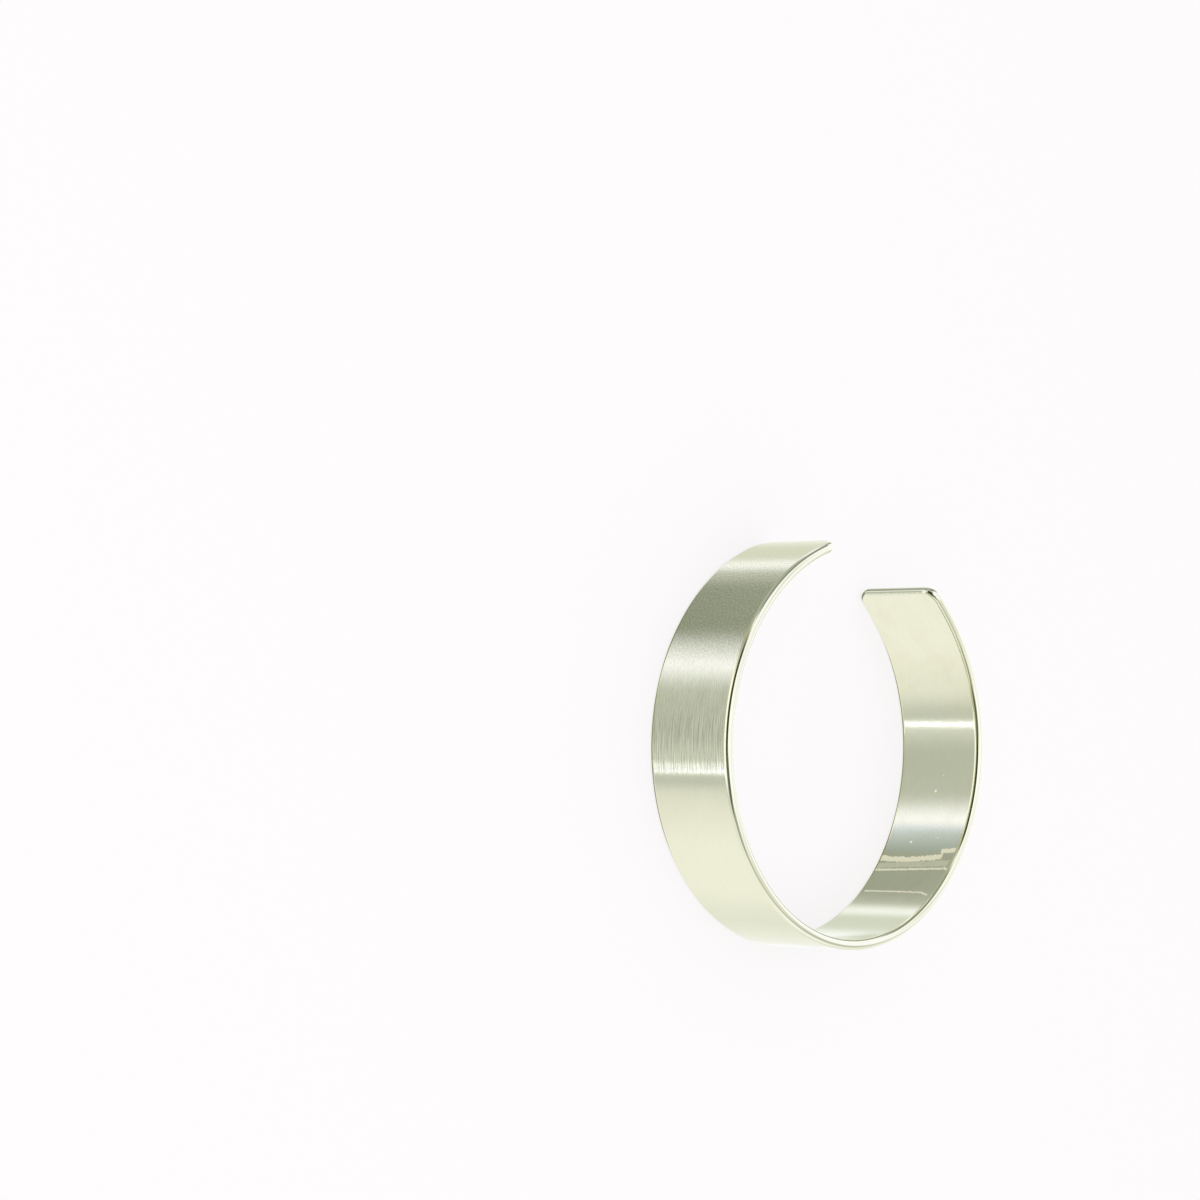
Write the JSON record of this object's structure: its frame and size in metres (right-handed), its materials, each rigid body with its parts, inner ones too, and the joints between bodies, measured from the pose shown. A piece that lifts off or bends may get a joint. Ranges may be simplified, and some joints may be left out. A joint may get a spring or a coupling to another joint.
{
  "type": "open cuff bracelet",
  "caption": "Open C-shaped cuff bracelet: a flat brushed silver-tone metal band with rounded corners and softened edges, bent round with a gap between its tips.",
  "frame": {"origin": "centre of the bracelet's footprint, on the plane of its lower rim", "axes": "+Z along the wrist opening, up from the lower rim on which it lies; +Y towards the gap between the tips; +X across the band's widest diameter"},
  "size_m": [0.0616, 0.06, 0.0156],
  "materials": {
    "silver_metal": "brushed along the band on the outer face, polished on the inner face and the rim"
  },
  "bodies": {
    "root": {"cuff_band": "silver_metal"}
  },
  "joints": []
}
